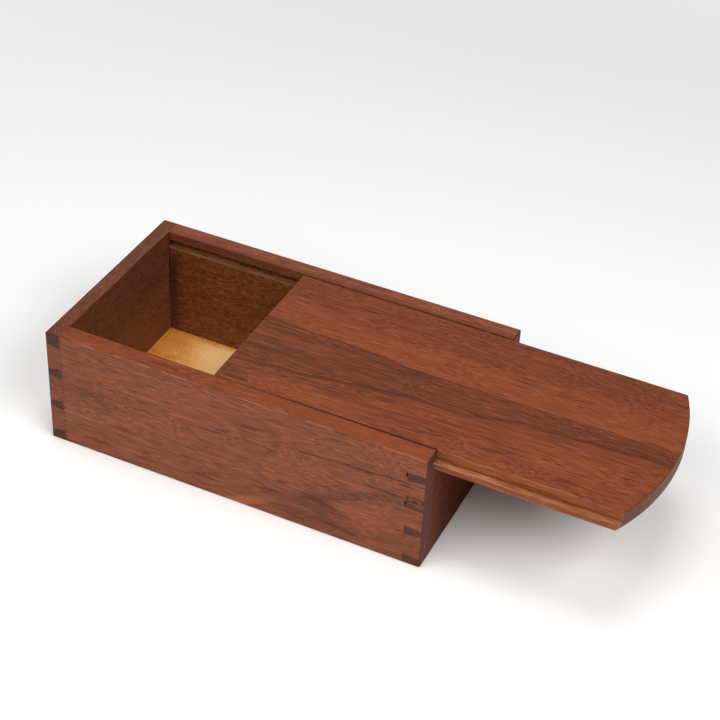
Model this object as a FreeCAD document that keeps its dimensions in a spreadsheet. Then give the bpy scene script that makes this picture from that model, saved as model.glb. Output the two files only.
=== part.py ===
import FreeCAD, Part
import Sketcher
import math
import os

# A small dovetailed box with a sliding lid, in millimetres. Two long side boards carry the
# tails and the grooves that the lid runs in, two end boards carry the pins, a thin panel is
# let in flush with the underside, and one board, rebated to two tongues, is the lid.
# The lid is drawn 79.5 mm out over the low end, which is where the model rests.
#
# Frame: +X the way the lid is drawn out, +Y from the front side to the back side, +Z up.
# The origin is the centre of the box's underside.

doc = FreeCAD.newDocument("sliding_lid_box")
sheet = doc.addObject("Spreadsheet::Sheet", "Sizes")

# Driving dimensions. A pin's low and high are its edges at the inner face of its end board.
SIZES = {
    "box_length": 203.0,
    "box_width": 114.0,
    "box_height": 65.5,
    "side_thickness": 9.5,
    "high_end_thickness": 8.0,
    "low_end_thickness": 9.5,
    "low_end_height": 55.5,
    "eased_radius": 0.9,
    "panel_thickness": 3.2,
    "panel_rebate": 4.0,
    "groove_floor": 56.1,
    "groove_height": 4.8,
    "groove_depth": 4.0,
    "lid_length": 214.5,
    "lid_thickness": 9.1,
    "lid_side_gap": 0.6,
    "lid_float": 0.2,
    "lid_drawn_out": 79.5,
    "lid_end_radius": 114.0,
    "lid_eased_radius": 0.7,
    "tongue_thickness": 3.7,
    "tongue_width": 3.5,
    "pin_taper": 1.45,
    "high_top_pin_low": 57.6,
    "high_top_pin_high": 65.5,
    "high_upper_pin_low": 38.8,
    "high_upper_pin_high": 45.0,
    "high_lower_pin_low": 19.3,
    "high_lower_pin_high": 25.4,
    "high_bottom_pin_low": 0.0,
    "high_bottom_pin_high": 6.6,
    "low_top_pin_low": 50.3,
    "low_top_pin_high": 55.5,
    "low_upper_pin_low": 35.3,
    "low_upper_pin_high": 42.4,
    "low_lower_pin_low": 17.7,
    "low_lower_pin_high": 23.7,
    "low_bottom_pin_low": 0.0,
    "low_bottom_pin_high": 6.0,
    "top_slit_width": 0.8,
    "top_slit_height": 2.8,
    "upper_slit_width": 0.5,
    "upper_slit_height": 3.2,
    "slit_depth": 3.0,
}

for row, (alias, value) in enumerate(SIZES.items(), start=1):
    sheet.set(f"A{row}", alias)
    sheet.set(f"B{row}", str(value))
    sheet.setAlias(f"B{row}", alias)
doc.recompute()


def bind(item, expressions):
    """Drive an object's properties from the sheet."""
    for name, expression in expressions.items():
        item.setExpression(name, expression)


def block(name, corner, size):
    """A rectangular block from its lowest corner and its size, each given as expressions."""
    box = doc.addObject("Part::Box", name)
    bind(box, dict(zip(("Length", "Width", "Height"), size)))
    bind(box, dict(zip(("Placement.Base.x", "Placement.Base.y", "Placement.Base.z"), corner)))
    return box


def join(name, pieces):
    """Pieces of one board as a single solid, with the faces that line up merged."""
    fused = doc.addObject("Part::MultiFuse", name)
    fused.Shapes = pieces
    fused.Refine = True
    return fused


def cut_away(name, base, tool):
    """What is left of a board once a tool has cut it."""
    cut = doc.addObject("Part::Cut", name)
    cut.Base = base
    cut.Tool = tool
    cut.Refine = True
    return cut


def ease(label, board):
    """A board trimmed by the rounded block, as its arrises are sanded on the glued box."""
    eased = doc.addObject("Part::Common", label)
    eased.Base = board
    eased.Tool = rounded_block
    eased.Refine = True
    eased.Label = label
    return eased


# The outside of the glued-up box, with every arris softened.
rounded_block = doc.addObject("PartDesign::Body", "rounded_block")
whole_block = rounded_block.newObject("PartDesign::AdditiveBox", "whole_block")
bind(whole_block, {
    "Length": "Sizes.box_length",
    "Width": "Sizes.box_width",
    "Height": "Sizes.box_height",
})
bind(rounded_block, {
    "Placement.Base.x": "-Sizes.box_length / 2",
    "Placement.Base.y": "-Sizes.box_width / 2",
})
doc.recompute()
softened = rounded_block.newObject("PartDesign::Fillet", "softened_arrises")
softened.Base = (whole_block, [""])
softened.UseAllEdges = True
softened.setExpression("Radius", "Sizes.eased_radius")
rounded_block.Tip = softened

# Dovetail pins. Each is one tapered bar across the whole width: its ends are the pins at the
# two corners. It is widest at the end board's inner face and narrows to the outside, apart
# from the straight top of a top pin and the straight bottom of a bottom pin.
HIGH_INNER_X = "(Sizes.high_end_thickness - Sizes.box_length / 2)"
LOW_INNER_X = "(Sizes.box_length / 2 - Sizes.low_end_thickness)"
# A wedge's own x, y and z lie along the box's Z, X and Y.
ACROSS = FreeCAD.Placement(FreeCAD.Vector(), FreeCAD.Rotation(FreeCAD.Vector(1, 1, 1), 240))


def pin(end, place):
    wedge = doc.addObject("Part::Wedge", f"{end}_{place}_pin")
    wedge.Placement = ACROSS
    low = f"Sizes.{end}_{place}_pin_low"
    high = f"Sizes.{end}_{place}_pin_high"
    wide = {"min": low, "max": high}
    narrow = {
        "min": low if place == "bottom" else f"{low} + Sizes.pin_taper",
        "max": high if place == "top" else f"{high} - Sizes.pin_taper",
    }
    if end == "low":
        span, first, second = (LOW_INNER_X, "Sizes.box_length / 2"), wide, narrow
    else:
        span, first, second = ("-Sizes.box_length / 2", HIGH_INNER_X), narrow, wide
    bind(wedge, {
        "Ymin": span[0],
        "Ymax": span[1],
        "Xmin": first["min"],
        "Xmax": first["max"],
        "X2min": second["min"],
        "X2max": second["max"],
        "Zmin": "-Sizes.box_width / 2",
        "Zmax": "Sizes.box_width / 2",
        "Z2min": "-Sizes.box_width / 2",
        "Z2max": "Sizes.box_width / 2",
    })
    return wedge


pins = {
    end: [pin(end, place) for place in ("top", "upper", "lower", "bottom")]
    for end in ("high", "low")
}
all_pins = join("all_pins", pins["high"] + pins["low"])

# The recess in the underside that the bottom panel drops into.
INNER_LENGTH = "(Sizes.box_length - Sizes.high_end_thickness - Sizes.low_end_thickness)"
INNER_WIDTH = "(Sizes.box_width - 2 * Sizes.side_thickness)"
PANEL_SIZE = (
    f"{INNER_LENGTH} + 2 * Sizes.panel_rebate",
    f"{INNER_WIDTH} + 2 * Sizes.panel_rebate",
    "Sizes.panel_thickness",
)
PANEL_CORNER = (
    f"{HIGH_INNER_X} - Sizes.panel_rebate",
    f"-{INNER_WIDTH} / 2 - Sizes.panel_rebate",
    "0",
)
panel_recess = block("panel_recess", PANEL_CORNER, PANEL_SIZE)

# The long grooves. They stop at the high end's inner face and run out through the low end.
lid_grooves = block(
    "lid_grooves",
    (HIGH_INNER_X, f"-{INNER_WIDTH} / 2 - Sizes.groove_depth", "Sizes.groove_floor"),
    ("Sizes.box_length", f"{INNER_WIDTH} + 2 * Sizes.groove_depth", "Sizes.groove_height"),
)

# The front side's sockets for the low end's upper two pins were chopped a little past their
# line, which leaves a short open slit beside the top of one pin and the foot of the other.
open_slits = join("open_slits", [
    block(
        f"{place}_slit",
        (f"{LOW_INNER_X} - Sizes.{place}_slit_width", "-Sizes.box_width / 2", lowest_z),
        (f"Sizes.{place}_slit_width", "Sizes.slit_depth", f"Sizes.{place}_slit_height"),
    )
    for place, lowest_z in (
        ("top", "Sizes.low_top_pin_high - Sizes.top_slit_height"),
        ("upper", "Sizes.low_upper_pin_low"),
    )
])
SIDE_CUTS = {"tailed": all_pins, "grooved": lid_grooves, "rebated": panel_recess}


def side_board(label, lowest_y, cuts):
    """A side: a full-height board, cut in turn for the pins, the lid and the panel."""
    board = block(
        f"{label}_blank",
        ("-Sizes.box_length / 2", lowest_y, "0"),
        ("Sizes.box_length", "Sizes.side_thickness", "Sizes.box_height"),
    )
    for step, waste in cuts.items():
        board = cut_away(f"{label}_{step}", board, waste)
    return ease(label, board)


def end_board(label, end, lowest_x, height):
    """An end: a board between the sides, with pins that reach through both of them."""
    blank = block(
        f"{label}_blank",
        (lowest_x, f"-{INNER_WIDTH} / 2", "0"),
        (f"Sizes.{end}_end_thickness", INNER_WIDTH, height),
    )
    pinned = join(f"{label}_pinned", [blank] + pins[end])
    rebated = cut_away(f"{label}_rebated", pinned, panel_recess)
    return ease(label, rebated)


front_cuts = {**SIDE_CUTS, "overcut": open_slits}
front_side = side_board("front_side", "-Sizes.box_width / 2", front_cuts)
back_side = side_board("back_side", "Sizes.box_width / 2 - Sizes.side_thickness", SIDE_CUTS)
high_end = end_board("high_end", "high", "-Sizes.box_length / 2", "Sizes.box_height")
low_end = end_board("low_end", "low", LOW_INNER_X, "Sizes.low_end_height")
bottom_panel = block("bottom_panel", PANEL_CORNER, PANEL_SIZE)

# The lid: one board with a straight inner end and a convex outer end, rebated along both
# long edges to a tongue. Its own x starts at the inner end and its own z at its underside.
# The rebate is the step between a full-width layer and a narrower one on top of it.
sliding_lid = doc.addObject("PartDesign::Body", "sliding_lid")
bind(sliding_lid, {
    "Placement.Base.x": f"{HIGH_INNER_X} + Sizes.lid_drawn_out",
    "Placement.Base.z": "Sizes.groove_floor + Sizes.lid_float",
})
LID_WIDTH = f"({INNER_WIDTH} - 2 * Sizes.lid_side_gap)"
TONGUED_WIDTH = f"({LID_WIDTH} + 2 * Sizes.tongue_width)"
RAISED_THICKNESS = "(Sizes.lid_thickness - Sizes.tongue_thickness)"
X_AXIS, Y_AXIS = -1, -2
START, END, CENTRE = 1, 2, 3


def lid_outline(name, height, width):
    """A closed outline centred on the X axis, at a height above the lid's underside."""
    planes = {item.Role: item for item in sliding_lid.Origin.OriginFeatures}
    sketch = sliding_lid.newObject("Sketcher::SketchObject", name)
    sketch.AttachmentSupport = [(planes["XY_Plane"], "")]
    sketch.MapMode = "FlatFace"
    sketch.setExpression("AttachmentOffset.Base.z", height)

    radius = sheet.get("lid_end_radius")
    centre = FreeCAD.Vector(sheet.get("lid_length") - radius, 0, 0)
    turn = math.radians(25)
    arc = Part.ArcOfCircle(Part.Circle(centre, FreeCAD.Vector(0, 0, 1), radius), -turn, turn)
    near_corner = arc.StartPoint
    far_corner = arc.EndPoint
    near_inner = FreeCAD.Vector(0, near_corner.y, 0)
    far_inner = FreeCAD.Vector(0, far_corner.y, 0)
    near_edge = sketch.addGeometry(Part.LineSegment(near_inner, near_corner))
    outer_end = sketch.addGeometry(arc)
    far_edge = sketch.addGeometry(Part.LineSegment(far_corner, far_inner))
    inner_end = sketch.addGeometry(Part.LineSegment(far_inner, near_inner))

    sketch.addConstraint([
        Sketcher.Constraint("Coincident", near_edge, END, outer_end, START),
        Sketcher.Constraint("Coincident", outer_end, END, far_edge, START),
        Sketcher.Constraint("Coincident", far_edge, END, inner_end, START),
        Sketcher.Constraint("Coincident", inner_end, END, near_edge, START),
        Sketcher.Constraint("Horizontal", near_edge),
        Sketcher.Constraint("Horizontal", far_edge),
        Sketcher.Constraint("Symmetric", inner_end, START, inner_end, END, X_AXIS),
        Sketcher.Constraint("PointOnObject", inner_end, START, Y_AXIS),
        Sketcher.Constraint("PointOnObject", outer_end, CENTRE, X_AXIS),
    ])
    driven = {
        "end_radius": (("Radius", outer_end, radius), "Sizes.lid_end_radius"),
        "end_centre": (
            ("DistanceX", X_AXIS, START, outer_end, CENTRE, centre.x),
            "Sizes.lid_length - Sizes.lid_end_radius",
        ),
        "full_width": (("DistanceY", inner_end, END, inner_end, START, 2 * far_corner.y), width),
    }
    for size, (constraint, expression) in driven.items():
        sketch.renameConstraint(sketch.addConstraint(Sketcher.Constraint(*constraint)), size)
        sketch.setExpression(f"Constraints.{size}", expression)
    return sketch


def lid_layer(name, height, width, thickness):
    outline = lid_outline(f"{name}_outline", height, width)
    doc.recompute()
    layer = sliding_lid.newObject("PartDesign::Pad", name)
    layer.Profile = outline
    layer.setExpression("Length", thickness)
    layer.Refine = True
    doc.recompute()
    return layer


tongues = lid_layer("tongues", "0", TONGUED_WIDTH, "Sizes.tongue_thickness")
raised_field = lid_layer("raised_field", "Sizes.tongue_thickness", LID_WIDTH, RAISED_THICKNESS)


def in_rebate_corner(edge):
    """True of the two edges where a tongue meets the raised field."""
    half_width = (raised_field.Shape.BoundBox.YLength / 2) - sheet.get("tongue_width")
    return all(
        math.isclose(abs(vertex.Y), half_width, abs_tol=0.001)
        and math.isclose(vertex.Z, sheet.get("tongue_thickness"), abs_tol=0.001)
        for vertex in edge.Vertexes
    )


arrises = sliding_lid.newObject("PartDesign::Fillet", "lid_arrises")
arrises.Base = (raised_field, [
    f"Edge{number}"
    for number, edge in enumerate(raised_field.Shape.Edges, start=1)
    if not in_rebate_corner(edge)
])
arrises.setExpression("Radius", "Sizes.lid_eased_radius")
sliding_lid.Tip = arrises
doc.recompute()

for item in doc.Objects:
    if "Invalid" in item.State or "Error" in item.State:
        raise RuntimeError(f"{item.Name} failed: {item.State}")

PIECES = (front_side, back_side, high_end, low_end, bottom_panel, sliding_lid)
for piece in PIECES:
    if piece.Shape.isNull() or not piece.Shape.isValid() or len(piece.Shape.Solids) != 1:
        raise RuntimeError(f"{piece.Label} is not one valid solid")

# What the saw and the plane take off each side: its share of the eight pins, the groove and
# the panel rebate. The eased arrises take a little more.
pin_waste = sum(
    wedge.Shape.Volume for end in pins.values() for wedge in end
) * sheet.get("side_thickness") / sheet.get("box_width")
groove_length = sheet.get("box_length") - sheet.get("high_end_thickness")
groove_waste = groove_length * sheet.get("groove_height") * sheet.get("groove_depth")
for side in (front_side, back_side):
    blank_volume = sheet.get("box_length") * sheet.get("side_thickness") * sheet.get("box_height")
    taken = blank_volume - side.Shape.Volume
    if taken < pin_waste + groove_waste:
        raise RuntimeError(f"{side.Label} lost only {taken:.0f} cubic mm")

os.makedirs("parts", exist_ok=True)
for piece in PIECES:
    piece.Shape.exportStep(f"parts/{piece.Label}.step")
    print(piece.Label, round(piece.Shape.Volume), piece.Shape.BoundBox)
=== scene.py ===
import bpy
import math
from mathutils import Matrix, Vector


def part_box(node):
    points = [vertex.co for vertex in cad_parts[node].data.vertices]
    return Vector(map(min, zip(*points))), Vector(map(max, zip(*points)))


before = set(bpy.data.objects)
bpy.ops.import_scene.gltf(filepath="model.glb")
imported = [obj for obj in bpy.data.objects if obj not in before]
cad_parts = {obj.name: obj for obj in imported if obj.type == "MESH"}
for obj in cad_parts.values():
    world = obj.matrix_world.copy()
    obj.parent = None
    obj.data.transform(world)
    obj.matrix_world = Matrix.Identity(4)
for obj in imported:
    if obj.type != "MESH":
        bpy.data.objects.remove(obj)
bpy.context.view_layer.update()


# The two long side boards: jarrah 9.5 mm thick, sawn so that the grain runs the length of the
# box, planed, dovetailed at both ends and rubbed with oil once the box was glued up. Both are
# grooved for the lid near the top, and the insides were never sanded.

def reach(piece):
    """A piece's lowest and highest corners, in millimetres."""
    return [corner * 1000 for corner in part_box(piece)]


# Where the boards' faces lie, in millimetres from the middle of the box's underside. The
# grooves are 4 mm deep, and 4.8 mm high from 9.4 mm below the rim.
front_low, front_high = reach("front_side")
SIDE_OUTSIDE, SIDE_INSIDE = -front_low.y, -front_high.y
BOX_END, RIM = front_high.x, front_high.z
HIGH_END_INSIDE = -reach("high_end")[1].x
LOW_END_INSIDE = reach("low_end")[0].x
GROOVE_SIDE = SIDE_INSIDE + 4.0
GROOVE_FLOOR = RIM - 9.4
GROOVE_TOP = GROOVE_FLOOR + 4.8


def colour(code):
    """An sRGB hex colour as the linear colour that a shader takes."""
    channels = [int(code[place:place + 2], 16) / 255 for place in (1, 3, 5)]
    return [c / 12.92 if c <= 0.04045 else ((c + 0.055) / 1.055) ** 2.4 for c in channels] + [1]


def add(material, kind, *inputs, sockets=None, stops=None, curve=None, **settings):
    """Add a node, set it, and give its inputs, in order or by name, a value or another node."""
    node = material.node_tree.nodes.new("ShaderNode" + kind)
    for name, value in settings.items():
        setattr(node, name, value)
    if stops:
        colours = node.color_ramp.elements
        while len(colours) < len(stops):
            colours.new(1)
        for element, (position, code) in zip(colours, stops):
            element.position = position
            element.color = colour(code)
    if curve:
        points = node.mapping.curves[0].points
        while len(points) < len(curve):
            points.new(1, 1)
        for point, place in zip(points, curve):
            point.location = place
        node.mapping.update()
    given = dict(zip([socket for socket in node.inputs if socket.enabled], inputs))
    given.update({node.inputs[name]: value for name, value in (sockets or {}).items()})
    for socket, value in given.items():
        if isinstance(value, bpy.types.Node):
            value = next(output for output in value.outputs if output.enabled)
        if isinstance(value, bpy.types.NodeSocket):
            material.node_tree.links.new(value, socket)
        elif value is not None:
            socket.default_value = value
    return node


def where(material, *edges):
    """A mask that eases from 0 to 1 past each edge, and is 1 only past all of them. An edge is a
    value, where it starts and where it is full, and may name other levels than 0 and 1."""
    mask = None
    for value, start, full, *levels in edges:
        step = add(
            material, "MapRange", value, start, full, *levels, interpolation_type="SMOOTHSTEP"
        )
        mask = add(material, "Math", mask, step, operation="MULTIPLY") if mask else step
    return mask


def jarrah(
    name, axes, cut, tones, figure, worked, end_tones=("#472519", "#67372a"), shine=0.12, streaks=0.4
):
    """A jarrah board finished with oil, which shows the eye a red-brown ground, fine dark pores along the
    grain, soft darker and redder bands, greyer and darker end grain, and a dull sheen.

    axes are the box's axes along the grain, across the board's face and through it. cut says
    where in the log the board was sawn, which moves the whole pattern. tones are its colours
    from dark to light. figure adds the board's own bands and streaks to the tone, and worked
    changes the parts that were cut, worn or left differently, and paints shade into some of them.
    """
    wood = bpy.data.materials.new(name)
    wood.use_nodes = True
    wood.node_tree.nodes.clear()
    spot = add(wood, "TexCoord")
    millimetres = add(
        wood, "VectorMath", spot.outputs["Object"], sockets={"Scale": 1000.0}, operation="SCALE"
    )
    place = add(wood, "SeparateXYZ", millimetres)
    board = add(wood, "CombineXYZ", *[place.outputs[axis] for axis in axes])

    def grain(length, width, detail, start=board):
        """Noise with features about that long along the grain and that wide across it, in mm."""
        at = add(
            wood, "VectorMath", start, (1 / length, 1 / width, 1 / width), cut, operation="MULTIPLY_ADD"
        )
        return add(
            wood, "TexNoise", sockets={"Vector": at, "Scale": 1.0, "Detail": detail, "Roughness": 0.55}
        )

    def shifted(noise, distance):
        """The board moved about by noise, by up to half that distance each way, in mm."""
        drift = add(wood, "VectorMath", noise.outputs["Color"], (0.5, 0.5, 0.5), operation="SUBTRACT")
        return add(wood, "VectorMath", drift, distance, board, operation="MULTIPLY_ADD")

    # The grain wanders by a few millimetres over the board, and each band frays out along it.
    wandering = shifted(grain(80, 30, 1), (0, 7, 7))
    frayed = shifted(grain(34, 0.9, 2, wandering), (44, 4, 0))

    # Soft clouds, then streaks, fibres and the finest fibres. Real fibres are finer still, and
    # are drawn this wide so that they show.
    tone = add(wood, "Math", grain(55, 8, 2, wandering), 0.4, 0.28, operation="MULTIPLY_ADD")
    for length, width, strength in ((60, 1.3, streaks), (34, 0.36, 0.55), (17, 0.16, 3.9)):
        fibres = add(wood, "Math", grain(length, width, 1, wandering), 0.5, operation="SUBTRACT")
        tone = add(wood, "Math", fibres, strength, tone, operation="MULTIPLY_ADD")
    tone = figure(wood, tone, board, frayed, grain)
    face = add(wood, "ValToRGB", tone, stops=tones)

    # Open pores: dark dashes along the grain, about 13 mm long and 0.2 mm wide, in drifts.
    pores = where(
        wood,
        (grain(13, 0.19, 1, wandering), 0.56, 0.72),
        (grain(26, 5, 2), 0.38, 0.62, 0.3, 0.75),
    )
    face = add(wood, "Mix", pores, face, colour("#52291c"), data_type="RGBA")

    # End grain drinks the oil, so it is darker and greyer. Its pores are cut across, and are
    # drawn as dots about 0.6 mm across so that they show, a few times as large as real ones.
    facing = add(wood, "SeparateXYZ", spot.outputs["Normal"])
    facing = [add(wood, "Math", facing.outputs[axis], operation="ABSOLUTE") for axis in axes]
    dots = add(wood, "VectorMath", board, (0.5, 1.6, 1.6), operation="MULTIPLY")
    dots = add(wood, "TexNoise", sockets={"Vector": dots, "Scale": 1.0, "Detail": 3.0, "Roughness": 0.6})
    end_face = add(wood, "ValToRGB", dots, stops=[(0.36, end_tones[0]), (0.64, end_tones[1])])
    end_grain = where(wood, (facing[0], 0.15, 0.45))
    face = add(wood, "Mix", end_grain, face, end_face, data_type="RGBA")

    # The eased arrises are a little darker, and in places lighter, partly worn by handling and
    # partly a painted highlight, and the lowest edge of the box carries a painted contact shadow.
    flattest = add(wood, "Math", facing[0], facing[1], operation="MAXIMUM")
    flattest = add(wood, "Math", flattest, facing[2], operation="MAXIMUM")
    arris = where(wood, (flattest, 0.995, 0.93, 0.0, 0.3))
    face = add(wood, "Mix", arris, face, colour("#4a2418"), data_type="RGBA")
    # Lighter arrises: partly wear from handling, partly a painted highlight.
    rubbed_highlight_and_gap_shade = where(
        wood,
        (flattest, 0.95, 0.8, 0.0, 0.45),
        (grain(14, 14, 1), 0.46, 0.58),
        (facing[0], 0.2, 0.05),
    )
    face = add(wood, "Mix", rubbed_highlight_and_gap_shade, face, colour("#b57656"), data_type="RGBA")
    # Painted contact shadow along the lowest edge of the box.
    painted_contact_shadow = where(wood, (place.outputs["Z"], 1.4, 0.2, 0.0, 0.7), (facing[axes.index("Z")], 0.95, 0.6))
    face = add(wood, "Mix", painted_contact_shadow, face, colour("#24120c"), data_type="RGBA")

    face = worked(wood, place, face, grain)

    # The oil soaked in and left no film, so the sheen is broad and weak, over raised grain and
    # sunken pores.
    sheen = where(wood, (grain(20, 1.5, 2), 0.3, 0.7, 0.46, 0.6))
    relief = grain(4, 0.4, 1, wandering)
    relief = add(wood, "Math", relief, pores, operation="SUBTRACT")
    bump = add(wood, "Bump", sockets={"Strength": 0.4, "Distance": 0.0001, "Height": relief})
    shader = add(wood, "BsdfPrincipled", sockets={
        "Base Color": face,
        "Roughness": sheen,
        "Specular IOR Level": shine,
        "Normal": bump,
    })
    add(wood, "OutputMaterial", shader)
    return wood


def lenses(wood, tone, laid_on, marks):
    """Long pointed patches of figure, lighter or darker than the ground, with frayed edges or
    clean ones as the board they are laid on is. Each is where its middle lies along and across
    the board, half its length and width, its tilt in degrees, and its strength."""
    for along, across, half_length, half_width, tilt, strength in marks:
        patch = add(
            wood, "Mapping", laid_on, (along, across, 0), (0, 0, math.radians(tilt)),
            (half_length, half_width, 1000), vector_type="TEXTURE",
        )
        patch = add(wood, "TexGradient", patch, gradient_type="SPHERICAL").outputs["Fac"]
        patch = where(wood, (patch, 0.0, 0.6, 0.0, strength))
        tone = add(wood, "Math", tone, patch, operation="ADD")
    return tone


def follow(wood, along, points, low=0.0, high=1.0):
    """A level between low and high that changes along a line through the points, each of which
    is how far along the line it lies, in millimetres, and the level there."""
    start, end = points[0][0], points[-1][0]
    along = add(wood, "Math", along, start, operation="SUBTRACT")
    along = add(wood, "Math", along, end - start, operation="DIVIDE")
    points = [((x - start) / (end - start), (level - low) / (high - low)) for x, level in points]
    level = add(wood, "FloatCurve", sockets={"Value": along}, curve=points)
    return add(wood, "Math", level, high - low, low, operation="MULTIPLY_ADD")


def wisps(wood, tone, grain, strength):
    """Fine dark lines that come and go along the grain."""
    line = where(wood, (grain(30, 0.42, 1), 0.54, 0.7, 0.06, -0.5))
    return add(wood, "Math", line, strength, tone, operation="MULTIPLY_ADD")


SIDE_TONES = [(0.0, "#593327"), (0.28, "#703f2e"), (0.5, "#824630"), (0.75, "#915135"), (1.0, "#a15c3b")]

# The rising band of the front side: its middle, as places along and up the board, and how
# dark it is along it.
RISING_BAND = [(20, 8), (34, 15), (43, 20), (54, 24), (65, 28.8), (74, 33), (82, 35.2), (102, 37)]
RISING_BAND_STRENGTH = [(30, 0.1), (50, 0.8), (64, 0.9), (80, 1), (102, 1)]


def front_figure(wood, tone, board, frayed, grain):
    """A purple patch near the low end, a dark band that rises from it to the dovetails above an
    orange one, a browner zone near the high end, and thin dark lines here and there."""
    tone = lenses(wood, tone, frayed, [
        (49, 16, 18, 8, 0, -0.42),
        (44, 7, 34, 5, 0, -0.26),
        (73, 22, 22, 8, 14, 0.16),
        (24, 14, 24, 13, 5, -0.1),
        (-70, 35, 34, 6, 0, -0.2),
        (-41, 34, 8, 4, 0, 0.3),
        (-54, 28.5, 8, 3, 0, 0.2),
    ])
    tone = lenses(wood, tone, board, [
        (12, 50, 15, 1.5, 8, -0.4),
        (-4, 42.2, 6, 1.3, 12, -0.4),
        (58, 47.3, 32, 1.0, 3, -0.55),
        (70, 47.4, 10, 1.3, 4, -0.4),
        (88, 49.0, 10, 1.1, 2, -0.5),
        (80, 39.7, 13, 1.3, -1, -0.45),
        (49, 29.3, 8, 1.1, 0, -0.35),
        (28.5, 23.5, 7, 1.3, 20, -0.35),
        (-58, 21, 12, 1.1, 3, -0.4),
        (-23, 24, 8, 1.1, 0, -0.3),
        (-23, 18.2, 8, 1.1, 0, -0.3),
        (-14, 10, 7, 1.6, 0, -0.45),
        (22.4, 15.8, 9, 1.3, 6, -0.45),
        (51, 18.6, 11, 1.4, -12, -0.5),
        (58, 7.2, 14, 1.6, -8, -0.4),
        (-81, 13, 9, 1.1, 0, -0.35),
        (-72, 7.5, 9, 1.3, 0, -0.35),
    ])

    # The band's edges are a quarter frayed, so heights are counted four times over.
    smooth = add(wood, "SeparateXYZ", board)
    rough = add(wood, "SeparateXYZ", frayed)
    height = add(wood, "Math", smooth.outputs["Y"], 3.0, rough.outputs["Y"], operation="MULTIPLY_ADD")
    middle = follow(wood, smooth.outputs["X"], RISING_BAND, 0, 50)
    above = add(wood, "Math", middle, -4.0, height, operation="MULTIPLY_ADD")
    band = where(wood, (above, -10.0, -4.0), (above, 22.0, 4.0))
    strength = follow(wood, smooth.outputs["X"], RISING_BAND_STRENGTH)
    band = add(wood, "Math", band, strength, operation="MULTIPLY")
    tone = add(wood, "Math", band, -0.45, tone, operation="MULTIPLY_ADD")

    low_left = where(wood, (smooth.outputs["Y"], 34, 18), (smooth.outputs["X"], 44, 20))
    return wisps(wood, tone, grain, where(wood, (low_left, 0.0, 1.0, 0.2, 0.65)))


def back_figure(wood, tone, board, frayed, grain):
    """Two broad bands, one redder and one darker, over the length of the board."""
    return lenses(wood, tone, frayed, [
        (-40, 52, 46, 9, 1, 0.18),
        (30, 38, 60, 8, -2, -0.25),
        (70, 14, 40, 9, 3, -0.2),
        (-60, 18, 40, 7, 0, 0.12),
    ])


def unsanded(wood, face, inside, place, grain, contrast=0.95, darker=0.0):
    """An inside face, left from the plane and given a thin coat of oil: browner, with short flecks,
    lightened towards the bottom by painted bounce light, and darkened towards the top by painted shade as
    strong as darker."""
    height = place.outputs["Z"]
    flecks = add(wood, "Math", grain(3.5, 0.42, 1), 0.5, operation="SUBTRACT")
    flecks = add(wood, "Math", flecks, contrast, 0.375, operation="MULTIPLY_ADD")
    flecks = add(wood, "Math", grain(14, 2.2, 2), 0.3, flecks, operation="MULTIPLY_ADD")
    # Painted bounce light towards the bottom and painted shade towards the top.
    painted_bounce_light = where(wood, (height, 3.0, 28.0, 0.07, -0.02))
    flecks = add(wood, "Math", flecks, painted_bounce_light, operation="ADD")
    painted_top_shade = where(wood, (height, 16.0, 52.0, 0.0, darker))
    flecks = add(wood, "Math", flecks, painted_top_shade, operation="SUBTRACT")
    raw = add(wood, "ValToRGB", flecks, stops=[(0.3, "#48200c"), (0.5, "#693719"), (0.7, "#8b5433")])
    return add(wood, "Mix", inside, face, raw, data_type="RGBA")


def side_worked(wood, place, face, grain):
    """The inside of a long side and its groove, with painted shade towards the corners, a painted
    shadow of the lid's gap on the face above the groove, and a lighter ledge below it where the lid has
    worn the oil away."""
    height = place.outputs["Z"]
    across = add(wood, "Math", place.outputs["Y"], operation="ABSOLUTE")
    along = add(wood, "Math", place.outputs["X"], operation="ABSOLUTE")
    inside = where(
        wood,
        (across, GROOVE_SIDE + 0.5, GROOVE_SIDE + 0.1),
        (height, GROOVE_TOP + 0.3, GROOVE_TOP - 0.1),
        (along, HIGH_END_INSIDE + 0.3, HIGH_END_INSIDE - 0.1),
    )
    face = unsanded(wood, face, inside, place, grain)
    # Painted shade, up to half strength towards the ends and stronger lower down.
    shade = where(wood, (along, 84.0, 91.0, 0.0, 0.5), (height, 58.0, 44.0, 0.3, 1.0))
    shade = add(wood, "Math", shade, inside, operation="MULTIPLY")
    face = add(wood, "Mix", shade, face, colour("#2e1204"), data_type="RGBA")

    # Painted shadow of the lid's gap on the face above the groove, darker on the front side than on the
    # back one.
    lip_gap_shadow = where(
        wood,
        (across, SIDE_INSIDE + 0.45, SIDE_INSIDE + 0.2),
        (height, GROOVE_TOP - 0.1, GROOVE_TOP + 0.1),
        (place.outputs["Y"], -1.0, 1.0, 0.85, 0.4),
    )
    face = add(wood, "Mix", lip_gap_shadow, face, colour("#431a0a"), data_type="RGBA")
    ledge = where(
        wood,
        (across, GROOVE_SIDE + 0.1, GROOVE_SIDE - 0.3),
        (height, GROOVE_FLOOR + 0.2, GROOVE_FLOOR + 0.1),
        (height, GROOVE_FLOOR - 0.8, GROOVE_FLOOR - 0.4),
        (grain(9, 1.5, 2), 0.3, 0.62, 0.2, 0.9),
    )
    face = add(wood, "Mix", ledge, face, colour("#85563c"), data_type="RGBA")

    # Painted shadow of a thin open gap in the corner where the side meets an end.
    joint_gap_shadow = where(
        wood,
        (along, HIGH_END_INSIDE - 0.8, HIGH_END_INSIDE - 0.3, 0.0, 0.85),
        (across, SIDE_INSIDE + 0.2, SIDE_INSIDE + 0.1),
        (height, 20.0, 36.0),
        (height, GROOVE_FLOOR + 0.9, GROOVE_FLOOR - 0.1),
    )
    return add(wood, "Mix", joint_gap_shadow, face, colour("#1d0e07"), data_type="RGBA")


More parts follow.
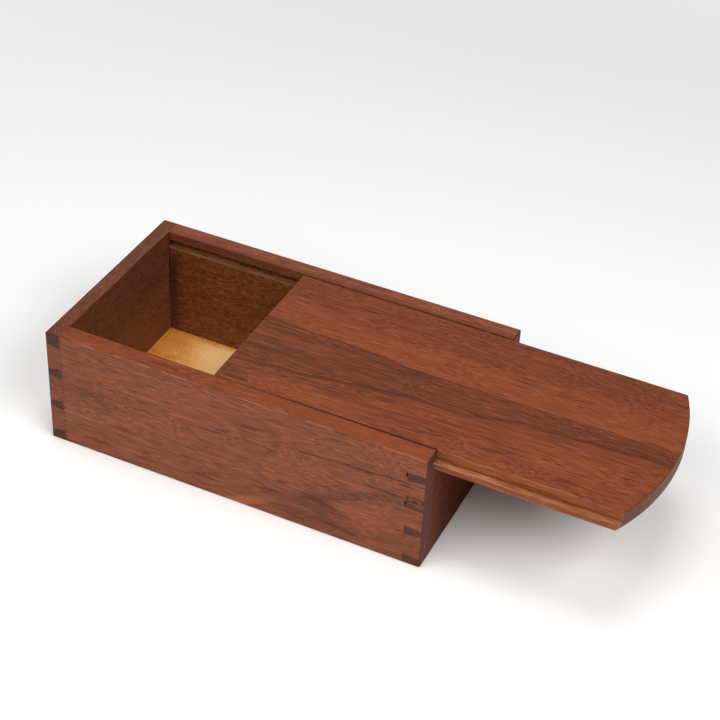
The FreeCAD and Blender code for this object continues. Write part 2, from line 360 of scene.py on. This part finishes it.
def front_worked(wood, place, face, grain):
    """The inside, a redder rim where hands have put oil on the wood, a darker patch on
    the tails of the high end, a knife line scribed across the board at their feet, one faint upright
    scratch, and a dark line below a pin of the low end."""
    face = side_worked(wood, place, face, grain)
    along = place.outputs["X"]
    height = place.outputs["Z"]
    rim = where(wood, (height, RIM - 0.3, RIM - 0.05))
    face = add(wood, "Mix", rim, face, colour("#f4e0c2"), data_type="RGBA", blend_type="MULTIPLY")
    redder = where(wood, (along, -40.0, 30.0, 0.1, 0.4))
    redder = add(wood, "Math", redder, rim, operation="MULTIPLY")
    face = add(wood, "Mix", redder, face, colour("#844527"), data_type="RGBA")
    handled = where(wood, (along, 0.9 - HIGH_END_INSIDE, 0.3 - HIGH_END_INSIDE, 0.0, 0.35))
    face = add(wood, "Mix", handled, face, colour("#6b3b2a"), data_type="RGBA")

    knife_line = add(wood, "Math", along, HIGH_END_INSIDE - 0.7, operation="ADD")
    knife_line = add(wood, "Math", knife_line, operation="ABSOLUTE")
    knife_line = where(wood, (knife_line, 0.15, 0.5, 0.55, 0.0), (grain(2, 1.2, 1), 0.4, 0.6))

    # The scratch leans by one in six, on a line that meets the table 24.5 mm left of the middle.
    scratch = add(wood, "Math", height, 1 / 6, along, operation="MULTIPLY_ADD")
    scratch = add(wood, "Math", scratch, 24.5, operation="ADD")
    scratch = add(wood, "Math", scratch, operation="ABSOLUTE")
    scratch = where(wood, (scratch, 0.45, 0.1, 0.0, 0.4), (height, 26.0, 28.0), (height, 40.0, 38.0))
    below_pin = where(
        wood,
        (height, 35.5, 35.3),
        (height, 34.1, 34.4, 0.0, 0.7),
        (along, LOW_END_INSIDE + 0.8, LOW_END_INSIDE + 1.2),
    )
    lines = add(wood, "Math", knife_line, scratch, operation="MAXIMUM")
    lines = add(wood, "Math", lines, below_pin, operation="MAXIMUM")
    return add(wood, "Mix", lines, face, colour("#3c241d"), data_type="RGBA")


def back_worked(wood, place, face, grain):
    """The inside, and a rim that is darker towards the lid."""
    face = side_worked(wood, place, face, grain)
    rim = where(
        wood,
        (place.outputs["Z"], RIM - 0.3, RIM - 0.1),
        (place.outputs["Y"], SIDE_INSIDE + 5.5, SIDE_INSIDE + 1.0, 0.0, 0.5),
    )
    return add(wood, "Mix", rim, face, colour("#5c3022"), data_type="RGBA")


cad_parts["front_side"].material_slots[0].material = jarrah(
    "oiled_jarrah_front_side", "XZY", (3.1, 0.4, 7.7), SIDE_TONES, front_figure, front_worked,
)
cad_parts["back_side"].material_slots[0].material = jarrah(
    "oiled_jarrah_back_side", "XZY", (11.3, 5.2, 1.9), SIDE_TONES, back_figure, back_worked,
)


# The two ends: darker jarrah with its grain running from side to side, so that the pins show
# as dark end grain on the long faces. They are glued between the sides' tails, and the low end
# stops under the lid. The low end's tones are darker still, partly painted shade standing in
# for the lid's shade.
LOW_END_TOP = reach("low_end")[1].z
HIGH_TONES = [(0.0, "#4e2a1e"), (0.28, "#5d3324"), (0.5, "#6b3b29"), (0.75, "#75412c"), (1.0, "#834c33")]
# The low end's tones: a darker board, and painted shade for where the lid shades it.
LOW_DARK_AND_SHADED_TONES = [(0.0, "#2b0b02"), (0.28, "#3e1404"), (0.5, "#501c07"), (0.75, "#5f260c"), (1.0, "#703519")]


def high_figure(wood, tone, board, frayed, grain):
    """A darker band near the top and a lighter one near the bottom."""
    return lenses(wood, tone, frayed, [(10, 40, 50, 9, 4, -0.2), (-20, 15, 40, 8, 0, 0.15)])


def low_figure(wood, tone, board, frayed, grain):
    """A curly, mottled board with one lighter and one darker band."""
    curl = add(wood, "Math", grain(4, 2.5, 2), 0.5, operation="SUBTRACT")
    tone = add(wood, "Math", curl, 0.9, tone, operation="MULTIPLY_ADD")
    return lenses(wood, tone, frayed, [(-20, 30, 46, 8, 3, 0.15), (25, 12, 40, 7, 0, -0.2)])


def high_worked(wood, place, face, grain):
    """The inside, with painted shade towards the top."""
    along = add(wood, "Math", place.outputs["X"], operation="ABSOLUTE")
    inside = where(wood, (along, HIGH_END_INSIDE + 0.1, HIGH_END_INSIDE - 0.1))
    below_rim = where(wood, (place.outputs["Z"], RIM - 0.6, RIM - 1.0))
    inside = add(wood, "Math", inside, below_rim, operation="MINIMUM")
    return unsanded(wood, face, inside, place, grain, contrast=1.5, darker=0.08)


def low_worked(wood, place, face, grain):
    """The inside, an outer face worn redder towards the front and browner on the pins, and the
    end of the second pin from the top, which is wavy."""
    along = place.outputs["X"]
    height = place.outputs["Z"]
    inside = where(wood, (along, LOW_END_INSIDE + 0.2, LOW_END_INSIDE))
    below_top = where(wood, (height, LOW_END_TOP - 0.5, LOW_END_TOP - 0.9))
    inside = add(wood, "Math", inside, below_top, operation="MINIMUM")
    face = unsanded(wood, face, inside, place, grain)

    outer = where(wood, (along, BOX_END - 0.3, BOX_END - 0.1))
    worn = where(wood, (place.outputs["Y"], -30.0, -46.0, 0.0, 0.4))
    worn = add(wood, "Math", worn, outer, operation="MULTIPLY")
    face = add(wood, "Mix", worn, face, colour("#7a3f2b"), data_type="RGBA")
    pin = where(
        wood,
        (place.outputs["Y"], 0.3 - SIDE_OUTSIDE, 0.1 - SIDE_OUTSIDE),
        (height, 36.3, 37.0),
        (height, 42.6, 42.5),
        (along, LOW_END_INSIDE + 1.2, LOW_END_INSIDE + 1.8),
    )
    waves = add(wood, "Math", height, 6.0, operation="MULTIPLY")
    waves = add(wood, "CombineXYZ", along, waves)
    waves = add(wood, "TexNoise", sockets={"Vector": waves, "Scale": 0.2, "Detail": 2.0, "Distortion": 0.5})
    waves = add(wood, "ValToRGB", waves, stops=[(0.4, "#44251b"), (0.5, "#6b3e2f"), (0.62, "#7d4b37")])
    face = add(wood, "Mix", pin, face, waves, data_type="RGBA")

    across = add(wood, "Math", place.outputs["Y"], operation="ABSOLUTE")
    beside_tails = where(wood, (across, SIDE_INSIDE - 0.5, SIDE_INSIDE + 0.5, 0.0, 0.9))
    beside_tails = add(wood, "Math", beside_tails, outer, operation="MULTIPLY")
    return add(wood, "Mix", beside_tails, face, colour("#5d382c"), data_type="RGBA")


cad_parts["high_end"].material_slots[0].material = jarrah(
    "oiled_jarrah_high_end", "YZX", (5.5, 2.6, 8.4), HIGH_TONES, high_figure, high_worked,
    end_tones=("#3c221b", "#56362c"),
)
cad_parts["low_end"].material_slots[0].material = jarrah(
    "oiled_jarrah_low_end", "YZX", (9.9, 8.1, 3.3), LOW_DARK_AND_SHADED_TONES, low_figure, low_worked,
    end_tones=("#4a2f29", "#5f3e36"), shine=0.05, streaks=0.15,
)


# The bottom: a thin panel of birch-faced plywood, cut to drop into the rebate that runs round
# the boards' lower edges, glued there and left bare.
def birch_ply():
    """Unfinished rotary-cut birch, which shows the eye a warm gold with soft cloudy figure, with
    painted shade making it darker and oranger along the walls."""
    ply = bpy.data.materials.new("bare_birch_plywood")
    ply.use_nodes = True
    ply.node_tree.nodes.clear()
    spot = add(ply, "TexCoord")

    # Clouds 22 mm long and 9 mm wide and fibres 1.4 mm long and 0.45 mm wide, as how many of
    # them go to a metre. The fibres are coarser than the real ones so that they show.
    clouds = add(ply, "VectorMath", spot.outputs["Object"], (45, 110, 110), operation="MULTIPLY")
    clouds = add(ply, "TexNoise", sockets={"Vector": clouds, "Scale": 1.0, "Detail": 3.0})
    fibres = add(ply, "VectorMath", spot.outputs["Object"], (700, 2200, 2200), operation="MULTIPLY")
    fibres = add(ply, "TexNoise", sockets={"Vector": fibres, "Scale": 1.0, "Detail": 1.0})

    # Painted light, strongest furthest from the ends and a few millimetres from the sides, with painted
    # shade along the walls; distances in metres.
    place = add(ply, "SeparateXYZ", spot.outputs["Object"])
    from_end = add(ply, "Math", place.outputs["X"], operation="ABSOLUTE")
    from_end = add(ply, "Math", HIGH_END_INSIDE / 1000, from_end, operation="SUBTRACT")
    from_side = add(ply, "Math", place.outputs["Y"], operation="ABSOLUTE")
    from_side = add(ply, "Math", SIDE_INSIDE / 1000, from_side, operation="SUBTRACT")
    painted_open_floor_light = where(
        ply,
        (from_end, -0.004, 0.05),
        (from_side, -0.003, 0.006),
        (from_side, 0.006, 0.026, 1.0, 0.93),
    )
    tone = add(ply, "Math", clouds, 0.4, -0.075, operation="MULTIPLY_ADD")
    tone = add(ply, "Math", fibres, 0.45, tone, operation="MULTIPLY_ADD")
    tone = add(ply, "Math", painted_open_floor_light, 0.65, tone, operation="MULTIPLY_ADD")
    face = add(ply, "ValToRGB", tone, stops=[
        (0.3, "#b46b20"), (0.5, "#d28738"), (0.68, "#f5b367"), (0.84, "#ffcf8b"),
    ])
    bump = add(ply, "Bump", sockets={"Strength": 0.2, "Distance": 0.0001, "Height": fibres})
    shader = add(ply, "BsdfPrincipled", sockets={
        "Base Color": face,
        "Roughness": 0.6,
        "Specular IOR Level": 0.3,
        "Normal": bump,
    })
    add(ply, "OutputMaterial", shader)
    return ply


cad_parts["bottom_panel"].material_slots[0].material = birch_ply()


# The lid: one wide flat-sawn jarrah board, oiled like the box. A dark streak wanders down it
# below a purple-brown heart zone, with an orange band on the far side. Both long edges are
# rebated to the tongues that run in the grooves, and there the wood is fresher and oranger.
lid_low, lid_high = reach("sliding_lid")
LID_TOP, TONGUE_EDGE = lid_high.z, lid_high.y
TONGUE_TOP, LID_WALL = lid_low.z + 3.7, TONGUE_EDGE - 3.5
LID_TONES = [(0.0, "#51291d"), (0.28, "#653523"), (0.5, "#763c26"), (0.75, "#844427"), (1.0, "#934e2b")]

# The streak and the heart zone's far edge, as places along and across the board, how dark each
# is along it, and how orange the wood is across the 50 mm beyond the edge.
STREAK = [
    (-14, -30.8), (0, -29.2), (16, -27.3), (27, -26.3), (34, -24.5), (44, -22.9), (53, -21.3),
    (60, -20.3), (68, -19.5), (77, -17.6), (83, -18.2), (96, -17.5), (105, -16.9), (116, -14.3),
    (127, -11.6), (140, -10.8), (155, -9.8), (172, -8.7), (200, -6.6),
]
STREAK_STRENGTH = [
    (-14, 0.7), (20, 0.65), (42, 0.65), (54, 1), (73, 1), (80, 0.6), (100, 0.5), (110, 0.65),
    (124, 0.6), (134, 0.45), (160, 0.6), (200, 0.6),
]
HEART_EDGE = [(-14, 7.5), (7, 5.8), (43, 4.8), (72, 2), (105, 2), (137, 2), (170, 2.4), (200, 2.7)]
EDGE_STRENGTH = [(-14, 0.1), (18, 0.7), (60, 0.8), (92, 0.5), (120, 0.3), (200, 0.5)]
ORANGE_BAND = [
    (0, 0.5), (1, 0.8), (2.5, 0.88), (5, 0.72), (12.5, 0.74), (20, 0.6), (26, 0.48), (37.5, 0.46),
    (50, 0.5),
]


def lid_figure(wood, tone, board, frayed, grain):
    """The heart zone between its two dark edges, and what lies either side of it."""
    smooth = add(wood, "SeparateXYZ", board)
    rough = add(wood, "SeparateXYZ", frayed)
    across = add(wood, "Math", grain(12, 1.2, 2), 1.2, rough.outputs["Y"], operation="MULTIPLY_ADD")
    across = add(wood, "Math", across, 0.6, operation="SUBTRACT")
    crisp = add(wood, "Math", across, smooth.outputs["Y"], operation="SUBTRACT")
    crisp = add(wood, "Math", crisp, 0.18, smooth.outputs["Y"], operation="MULTIPLY_ADD")

    def beyond(path, across):
        """How far a place lies across the board from a line along it, in millimetres."""
        path = follow(wood, smooth.outputs["X"], path, -50, 50)
        return add(wood, "Math", across, path, operation="SUBTRACT")

    from_streak = beyond(STREAK, crisp)
    from_edge = beyond(HEART_EDGE, across)
    heart = where(
        wood,
        (from_streak, -0.5, 3.0),
        (from_edge, 1.0, -3.0),
        (grain(14, 2.4, 2), 0.35, 0.7, -0.17, -0.22),
    )
    tone = add(wood, "Math", tone, heart, operation="ADD")

    orange = follow(wood, from_edge, ORANGE_BAND)
    orange = add(wood, "Math", orange, 0.5, operation="SUBTRACT")
    past_edge = where(wood, (from_edge, -1.0, 1.0, 0.0, 0.9))
    tone = add(wood, "Math", orange, past_edge, tone, operation="MULTIPLY_ADD")
    below = where(wood, (from_streak, -3.0, -12.0, 0.0, 0.09))
    tone = add(wood, "Math", tone, below, operation="ADD")

    streak = add(wood, "Math", from_streak, operation="ABSOLUTE")
    streak = where(wood, (streak, 1.9, 0.5))
    darkness = follow(wood, smooth.outputs["X"], STREAK_STRENGTH)
    streak = add(wood, "Math", streak, darkness, operation="MULTIPLY")
    tone = add(wood, "Math", streak, -0.8, tone, operation="MULTIPLY_ADD")
    edge = add(wood, "Math", from_edge, 0.6, operation="ADD")
    edge = add(wood, "Math", edge, operation="ABSOLUTE")
    edge = where(wood, (edge, 1.2, 0.3))
    darkness = follow(wood, smooth.outputs["X"], EDGE_STRENGTH)
    edge = add(wood, "Math", edge, darkness, operation="MULTIPLY")
    tone = add(wood, "Math", edge, -0.42, tone, operation="MULTIPLY_ADD")

    tone = wisps(wood, tone, grain, 0.6)
    tone = lenses(wood, tone, board, [
        (90, -38.8, 14, 1.2, 9.5, -0.4),
        (76, -36.5, 12, 1.2, 4, -0.2),
        (124, -35.4, 11, 1.6, 8, -0.42),
    ])
    return lenses(wood, tone, frayed, [
        (62, -2, 28, 5, 0, -0.16),
        (112, -1.5, 12, 3, 0, -0.16),
        (182, -3.5, 30, 5, 0, -0.16),
        (-6, 6, 16, 6, 0, -0.2),
        (2, -16, 16, 6, 0, -0.08),
        (-6, -26, 14, 6, 0, -0.12),
        (20, -6, 14, 6, 0, 0.2),
        (30, -39, 36, 8, 3, 0.1),
        (157, -41, 12, 3, 0, -0.22),
        (-8, -40, 16, 9, 0, -0.38),
        (80, -36, 30, 7, 5, -0.1),
    ])


def lid_worked(wood, place, face, grain):
    """Fresher wood along both cut edges: a golden brown wall, a painted shade line in the corner
    and a pale orange tongue, browner at the outer end and redder below. The top of the front
    wall, where it runs inside the box, carries a painted shadow of the gap beside it."""
    along = place.outputs["X"]
    side = add(wood, "Math", place.outputs["Y"], operation="ABSOLUTE")
    height = place.outputs["Z"]
    lines = add(wood, "Math", grain(7, 0.8, 2), 0.4, operation="MULTIPLY")
    lines = add(wood, "Math", grain(26, 0.45, 1), 0.6, lines, operation="MULTIPLY_ADD")
    wall = where(
        wood,
        (side, LID_WALL - 0.35, LID_WALL - 0.05),
        (height, LID_TOP - 0.1, LID_TOP - 0.5, 0.0, 0.85),
    )
    golden = add(wood, "ValToRGB", lines, stops=[(0.38, "#6f3b1f"), (0.5, "#8c4e2b"), (0.62, "#a16138")])
    face = add(wood, "Mix", wall, face, golden, data_type="RGBA")

    tongue = where(
        wood,
        (side, LID_WALL + 0.05, LID_WALL + 0.25),
        (height, TONGUE_TOP + 0.6, TONGUE_TOP + 0.2),
    )
    fresh = add(wood, "ValToRGB", lines, stops=[(0.4, "#703a25"), (0.5, "#905736"), (0.61, "#ad7952")])
    aged = where(wood, (along, 115.0, 185.0, 0.0, 0.35))
    fresh = add(wood, "Mix", aged, fresh, colour("#6f3d26"), data_type="RGBA")
    face = add(wood, "Mix", tongue, face, fresh, data_type="RGBA")
    tongue_edge = where(
        wood,
        (height, TONGUE_TOP - 0.1, TONGUE_TOP - 0.5, 0.0, 0.8),
        (side, TONGUE_EDGE - 0.5, TONGUE_EDGE - 0.2),
    )
    faded = add(wood, "ValToRGB", grain(12, 1.2, 2), stops=[(0.35, "#643120"), (0.65, "#8c4e33")])
    face = add(wood, "Mix", tongue_edge, face, faded, data_type="RGBA")

    # Painted shade in the inside corner between the wall and the tongue.
    corner = where(
        wood,
        (side, LID_WALL + 0.8, LID_WALL + 0.2),
        (side, LID_WALL - 0.3, LID_WALL),
        (height, TONGUE_TOP + 0.6, TONGUE_TOP + 0.1, 0.0, 0.4),
    )
    # Painted shadow of the gap between the lid and the front side, along the top of the front wall inside
    # the box.
    to_front = add(wood, "Math", place.outputs["Y"], -1.0, operation="MULTIPLY")
    rubbed_highlight_and_gap_shade = where(
        wood,
        (to_front, LID_WALL - 0.65, LID_WALL - 0.3),
        (along, BOX_END + 0.3, BOX_END - 0.5),
        (height, LID_TOP - 1.1, LID_TOP - 0.7),
        (along, -20.0, 70.0, 0.45, 1.0),
    )
    dark = add(wood, "Math", corner, rubbed_highlight_and_gap_shade, operation="MAXIMUM")
    return add(wood, "Mix", dark, face, colour("#35130a"), data_type="RGBA")


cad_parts["sliding_lid"].material_slots[0].material = jarrah(
    "oiled_jarrah_lid", "XYZ", (1.7, 6.3, 4.9), LID_TONES, lid_figure, lid_worked,
    end_tones=("#563326", "#764c3a"),
)


# The table: a plain sweep of matt white paper, brightest in front where the lamps stand. Away
# from the box, where the lamps hardly reach, it is seen at one even brightness, and so is the
# backdrop past its edge, which stands a third as high as it is far.
TABLE_HALF = 3.0
NEAR_WHITE, FAR_WHITE = "#ffffff", "#f2f2f2"


def seen_as_background(material):
    """1 for the rays that look straight at a thing, in a reflection or through glass."""
    rays = add(material, "LightPath").outputs
    seen = rays["Is Camera Ray"]
    for kind in ("Is Glossy Ray", "Is Transmission Ray"):
        seen = add(material, "Math", seen, rays[kind], operation="MAXIMUM")
    return seen


def white_paper():
    """Matt white paper, which the eye sees as white in front and pale grey towards the back."""
    paper = bpy.data.materials.new("matt_white_paper")
    paper.use_nodes = True
    paper.node_tree.nodes.clear()
    spot = add(paper, "TexCoord")
    place = add(paper, "SeparateXYZ", spot.outputs["Object"])
    back = where(paper, (place.outputs["Y"], -0.3, 0.5))
    face = add(paper, "Mix", back, colour("#f5f5f4"), colour("#f3f3f3"), data_type="RGBA")
    shader = add(paper, "BsdfPrincipled", sockets={
        "Base Color": face,
        "Roughness": 1.0,
        "Specular IOR Level": 0.0,
    })
    from_box = add(paper, "VectorMath", spot.outputs["Object"], operation="LENGTH").outputs["Value"]
    far = where(paper, (from_box, 0.32, 0.8))
    far = add(paper, "Math", far, seen_as_background(paper), operation="MULTIPLY")
    even = add(paper, "Mix", back, colour(NEAR_WHITE), colour(FAR_WHITE), data_type="RGBA")
    even = add(paper, "Emission", even, 1.0)
    add(paper, "OutputMaterial", add(paper, "MixShader", far, shader, even))
    return paper


table_corners = [
    (TABLE_HALF * right, TABLE_HALF * back, 0) for right, back in ((-1, -1), (1, -1), (1, 1), (-1, 1))
]
table_mesh = bpy.data.meshes.new("table")
table_mesh.from_pydata(table_corners, [], [(0, 1, 2, 3)])
table = bpy.data.objects.new("table", table_mesh)
bpy.context.scene.collection.objects.link(table)
table_mesh.materials.append(white_paper())

world = bpy.data.worlds.new("studio")
bpy.context.scene.world = world
world.use_nodes = True
world.node_tree.nodes.clear()
direction = add(world, "TexCoord").outputs["Generated"]
rise = add(world, "SeparateXYZ", direction).outputs["Z"]
backdrop = where(world, (rise, 0.2, 0.45, 1.0, 0.0))
backdrop = add(world, "Math", backdrop, seen_as_background(world), operation="MULTIPLY")
dim_room = add(world, "Background", colour(NEAR_WHITE), 0.02)
far_paper = add(world, "Background", colour(FAR_WHITE), 1.0)
add(world, "OutputWorld", add(world, "MixShader", backdrop, dim_room, far_paper))


# The lamps: four softboxes, a wide one in front, one on the right, one overhead and a weak one
# behind, all as far from the box, so that every shadow is soft and the wood keeps its colour.
LAMP_AIM = Vector((0.03, 0, 0.03))
LAMP_DISTANCE = 1.4


def bearing(azimuth, elevation):
    """The direction towards something, with azimuth 0 straight in front of the box."""
    turn, rise = math.radians(azimuth), math.radians(elevation)
    return Vector((math.sin(turn) * math.cos(rise), -math.cos(turn) * math.cos(rise), math.sin(rise)))


def softbox(name, azimuth, elevation, width, height, power):
    """A lamp turned towards the box, with its sides in metres and its power in watts."""
    lamp = bpy.data.lights.new(name, "AREA")
    lamp.shape = "RECTANGLE"
    lamp.size = width
    lamp.size_y = height
    lamp.energy = power
    stand = bpy.data.objects.new(name, lamp)
    bpy.context.scene.collection.objects.link(stand)
    towards = bearing(azimuth, elevation)
    stand.location = LAMP_AIM + towards * LAMP_DISTANCE
    stand.rotation_euler = towards.to_track_quat("Z", "Y").to_euler()


softbox("front_softbox", -20, 45, 1.8, 0.6, 13.0)
softbox("right_softbox", 66, 46, 1.0, 0.6, 12.7)
softbox("overhead_softbox", 0, 90, 0.55, 0.55, 6.1)
softbox("back_softbox", 236, 42, 1.2, 0.5, 3.0)
bpy.context.scene.view_settings.view_transform = "Standard"


# The camera: a long lens held about a metre off, looking down on the box's front right corner,
# a little out of level.
CAMERA_AZIMUTH, CAMERA_ELEVATION, CAMERA_ROLL = 23.559, 37.464, 3.128
CAMERA_TARGET = Vector((0.02377, 0.03818, 0.03045))
CAMERA_DISTANCE = 0.9322
camera = bpy.data.cameras.new("camera")
camera.lens = 91.22
viewer = bpy.data.objects.new("camera", camera)
bpy.context.scene.collection.objects.link(viewer)
away = bearing(CAMERA_AZIMUTH, CAMERA_ELEVATION)
level = away.to_track_quat("Z", "Y").to_matrix()
viewer.rotation_euler = (level @ Matrix.Rotation(math.radians(CAMERA_ROLL), 3, "Z")).to_euler()
viewer.location = CAMERA_TARGET + away * CAMERA_DISTANCE
bpy.context.scene.camera = viewer
